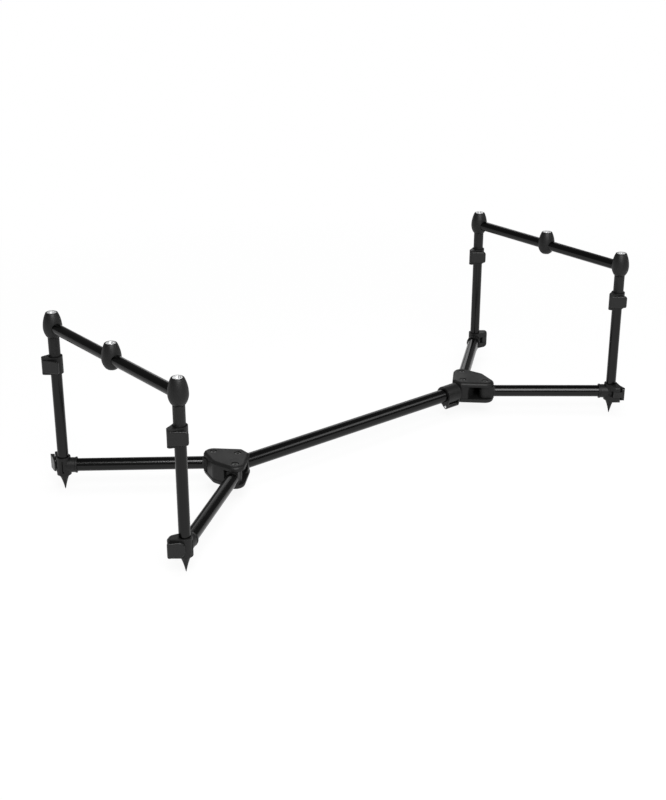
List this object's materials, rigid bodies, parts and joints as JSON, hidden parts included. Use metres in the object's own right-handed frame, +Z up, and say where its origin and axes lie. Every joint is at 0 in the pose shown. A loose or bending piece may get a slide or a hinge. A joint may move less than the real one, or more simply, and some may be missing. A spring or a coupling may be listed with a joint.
{
  "type": "rod pod",
  "caption": "Low fishing rod pod: goalposts with threaded heads stand on folding legs at both ends of a telescopic ridge, with cam clamps and ground spikes.",
  "frame": {"origin": "on the ground below the middle of the frame, level with the spike tips", "axes": "+X along the ridge towards the rear goalpost, +Y to the left side, +Z up"},
  "size_m": [0.8993, 0.3724, 0.276],
  "materials": {
    "nylon": "matt moulded black nylon",
    "anodised_tube": "satin black anodised",
    "black_steel": "blackened steel",
    "bright_steel": "turned bright steel"
  },
  "bodies": {
    "front_frame": {"front_hub_base": "nylon", "front_hub_cover": "nylon", "front_hub_bolts": "black_steel", "ridge_outer_tube": "anodised_tube", "ridge_collar": "nylon", "ridge_lever_pin": "bright_steel"},
    "rear_frame": {"rear_hub_base": "nylon", "rear_hub_cover": "nylon", "rear_hub_bolts": "black_steel", "ridge_inner_tube": "anodised_tube", "ridge_end_plug": "nylon"},
    "ridge_lever": {"ridge_lever": "nylon"},
    "front_left_leg": {"front_left_knuckle": "nylon", "front_left_leg_tube": "anodised_tube", "front_left_clamp": "nylon"},
    "front_left_clamp_lever": {"front_left_clamp_lever": "nylon"},
    "front_left_post": {"front_left_post_tube": "anodised_tube", "front_left_spike": "black_steel"},
    "front_left_collar": {"front_left_collar": "nylon"},
    "front_left_collar_lever": {"front_left_collar_lever": "nylon"},
    "front_left_mast": {"front_left_inner_tube": "anodised_tube", "front_left_sleeve": "nylon", "front_bar_tube": "anodised_tube", "front_heads": "nylon", "front_inserts": "bright_steel"},
    "front_right_leg": {"front_right_knuckle": "nylon", "front_right_leg_tube": "anodised_tube", "front_right_clamp": "nylon"},
    "front_right_clamp_lever": {"front_right_clamp_lever": "nylon"},
    "front_right_post": {"front_right_post_tube": "anodised_tube", "front_right_spike": "black_steel"},
    "front_right_collar": {"front_right_collar": "nylon"},
    "front_right_collar_lever": {"front_right_collar_lever": "nylon"},
    "front_right_mast": {"front_right_inner_tube": "anodised_tube", "front_right_sleeve": "nylon"},
    "rear_left_leg": {"rear_left_knuckle": "nylon", "rear_left_leg_tube": "anodised_tube", "rear_left_clamp": "nylon"},
    "rear_left_clamp_lever": {"rear_left_clamp_lever": "nylon"},
    "rear_left_post": {"rear_left_post_tube": "anodised_tube", "rear_left_spike": "black_steel"},
    "rear_left_collar": {"rear_left_collar": "nylon"},
    "rear_left_collar_lever": {"rear_left_collar_lever": "nylon"},
    "rear_left_mast": {"rear_left_inner_tube": "anodised_tube", "rear_left_sleeve": "nylon", "rear_bar_tube": "anodised_tube", "rear_heads": "nylon", "rear_inserts": "bright_steel"},
    "rear_right_leg": {"rear_right_knuckle": "nylon", "rear_right_leg_tube": "anodised_tube", "rear_right_clamp": "nylon"},
    "rear_right_clamp_lever": {"rear_right_clamp_lever": "nylon"},
    "rear_right_post": {"rear_right_post_tube": "anodised_tube", "rear_right_spike": "black_steel"},
    "rear_right_collar": {"rear_right_collar": "nylon"},
    "rear_right_collar_lever": {"rear_right_collar_lever": "nylon"},
    "rear_right_mast": {"rear_right_inner_tube": "anodised_tube", "rear_right_sleeve": "nylon"}
  },
  "joints": [
    {"name": "ridge_slide", "type": "slide", "parent": "front_frame", "child": "rear_frame", "axis": [1, 0, 0], "range_m": [0, 0.3]},
    {"name": "ridge_lever_turn", "type": "hinge", "parent": "front_frame", "child": "ridge_lever", "pos_m": [0.207, -0.00591, 0.02013], "axis": [-1, 0, 0], "range_deg": [0, 60]},
    {"name": "front_left_leg_fold", "type": "hinge", "parent": "front_frame", "child": "front_left_leg", "pos_m": [-0.247, 0.0275, 0.0385], "axis": [0, 0, -1], "range_deg": [0, 135]},
    {"name": "front_left_clamp_lever_turn", "type": "hinge", "parent": "front_left_leg", "child": "front_left_clamp_lever", "pos_m": [-0.4202, 0.17702, 0.0385], "axis": [0, 0, -1], "range_deg": [0, 100]},
    {"name": "front_left_post_slide", "type": "slide", "parent": "front_left_leg", "child": "front_left_post", "axis": [0, 0, -1], "range_m": [0, 0.12]},
    {"name": "front_left_collar_swivel", "type": "hinge", "parent": "front_left_post", "child": "front_left_collar", "pos_m": [-0.423, 0.16, 0.1977], "axis": [0, 0, 1], "range_deg": [0, 45]},
    {"name": "front_left_collar_lever_turn", "type": "hinge", "parent": "front_left_collar", "child": "front_left_collar_lever", "pos_m": [-0.43775, 0.16475, 0.1977], "axis": [0, 0, -1], "range_deg": [0, 100]},
    {"name": "front_left_mast_slide", "type": "slide", "parent": "front_left_collar", "child": "front_left_mast", "axis": [0, 0, 1], "range_m": [0, 0.12]},
    {"name": "front_right_leg_fold", "type": "hinge", "parent": "front_frame", "child": "front_right_leg", "pos_m": [-0.247, -0.0275, 0.0385], "axis": [0, 0, 1], "range_deg": [0, 135]},
    {"name": "front_right_clamp_lever_turn", "type": "hinge", "parent": "front_right_leg", "child": "front_right_clamp_lever", "pos_m": [-0.43858, -0.1526, 0.0385], "axis": [0, 0, -1], "range_deg": [0, 100]},
    {"name": "front_right_post_slide", "type": "slide", "parent": "front_right_leg", "child": "front_right_post", "axis": [0, 0, -1], "range_m": [0, 0.12]},
    {"name": "front_right_collar_swivel", "type": "hinge", "parent": "front_right_post", "child": "front_right_collar", "pos_m": [-0.423, -0.16, 0.1977], "axis": [0, 0, -1], "range_deg": [0, 45]},
    {"name": "front_right_collar_lever_turn", "type": "hinge", "parent": "front_right_collar", "child": "front_right_collar_lever", "pos_m": [-0.43849, -0.16058, 0.1977], "axis": [0, 0, -1], "range_deg": [0, 100]},
    {"name": "front_right_mast_slide", "type": "slide", "parent": "front_right_collar", "child": "front_right_mast", "axis": [0, 0, 1], "range_m": [0, 0.12]},
    {"name": "rear_left_leg_fold", "type": "hinge", "parent": "rear_frame", "child": "rear_left_leg", "pos_m": [0.262, 0.0275, 0.0385], "axis": [0, 0, 1], "range_deg": [0, 135]},
    {"name": "rear_left_clamp_lever_turn", "type": "hinge", "parent": "rear_left_leg", "child": "rear_left_clamp_lever", "pos_m": [0.43889, 0.15328, 0.0385], "axis": [0, 0, -1], "range_deg": [0, 100]},
    {"name": "rear_left_post_slide", "type": "slide", "parent": "rear_left_leg", "child": "rear_left_post", "axis": [0, 0, -1], "range_m": [0, 0.12]},
    {"name": "rear_left_collar_swivel", "type": "hinge", "parent": "rear_left_post", "child": "rear_left_collar", "pos_m": [0.423, 0.16, 0.1977], "axis": [0, 0, -1], "range_deg": [0, 45]},
    {"name": "rear_left_collar_lever_turn", "type": "hinge", "parent": "rear_left_collar", "child": "rear_left_collar_lever", "pos_m": [0.40751, 0.15942, 0.1977], "axis": [0, 0, -1], "range_deg": [0, 100]},
    {"name": "rear_left_mast_slide", "type": "slide", "parent": "rear_left_collar", "child": "rear_left_mast", "axis": [0, 0, 1], "range_m": [0, 0.12]},
    {"name": "rear_right_leg_fold", "type": "hinge", "parent": "rear_frame", "child": "rear_right_leg", "pos_m": [0.262, -0.0275, 0.0385], "axis": [0, 0, -1], "range_deg": [0, 135]},
    {"name": "rear_right_clamp_lever_turn", "type": "hinge", "parent": "rear_right_leg", "child": "rear_right_clamp_lever", "pos_m": [0.41947, -0.17688, 0.0385], "axis": [0, 0, -1], "range_deg": [0, 100]},
    {"name": "rear_right_post_slide", "type": "slide", "parent": "rear_right_leg", "child": "rear_right_post", "axis": [0, 0, -1], "range_m": [0, 0.12]},
    {"name": "rear_right_collar_swivel", "type": "hinge", "parent": "rear_right_post", "child": "rear_right_collar", "pos_m": [0.423, -0.16, 0.1977], "axis": [0, 0, 1], "range_deg": [0, 45]},
    {"name": "rear_right_collar_lever_turn", "type": "hinge", "parent": "rear_right_collar", "child": "rear_right_collar_lever", "pos_m": [0.40751, -0.16058, 0.1977], "axis": [0, 0, -1], "range_deg": [0, 100]},
    {"name": "rear_right_mast_slide", "type": "slide", "parent": "rear_right_collar", "child": "rear_right_mast", "axis": [0, 0, 1], "range_m": [0, 0.12]}
  ],
  "couplings": [
    {"joint": "front_left_collar_swivel", "follows": "front_left_leg_fold", "ratio": 0.33333},
    {"joint": "front_right_collar_swivel", "follows": "front_right_leg_fold", "ratio": 0.33333},
    {"joint": "rear_left_collar_swivel", "follows": "rear_left_leg_fold", "ratio": 0.33333},
    {"joint": "rear_right_collar_swivel", "follows": "rear_right_leg_fold", "ratio": 0.33333},
    {"joint": "front_right_post_slide", "follows": "front_left_post_slide", "ratio": 1},
    {"joint": "front_right_mast_slide", "follows": "front_left_mast_slide", "ratio": 1},
    {"joint": "rear_right_post_slide", "follows": "rear_left_post_slide", "ratio": 1},
    {"joint": "rear_right_mast_slide", "follows": "rear_left_mast_slide", "ratio": 1}
  ]
}
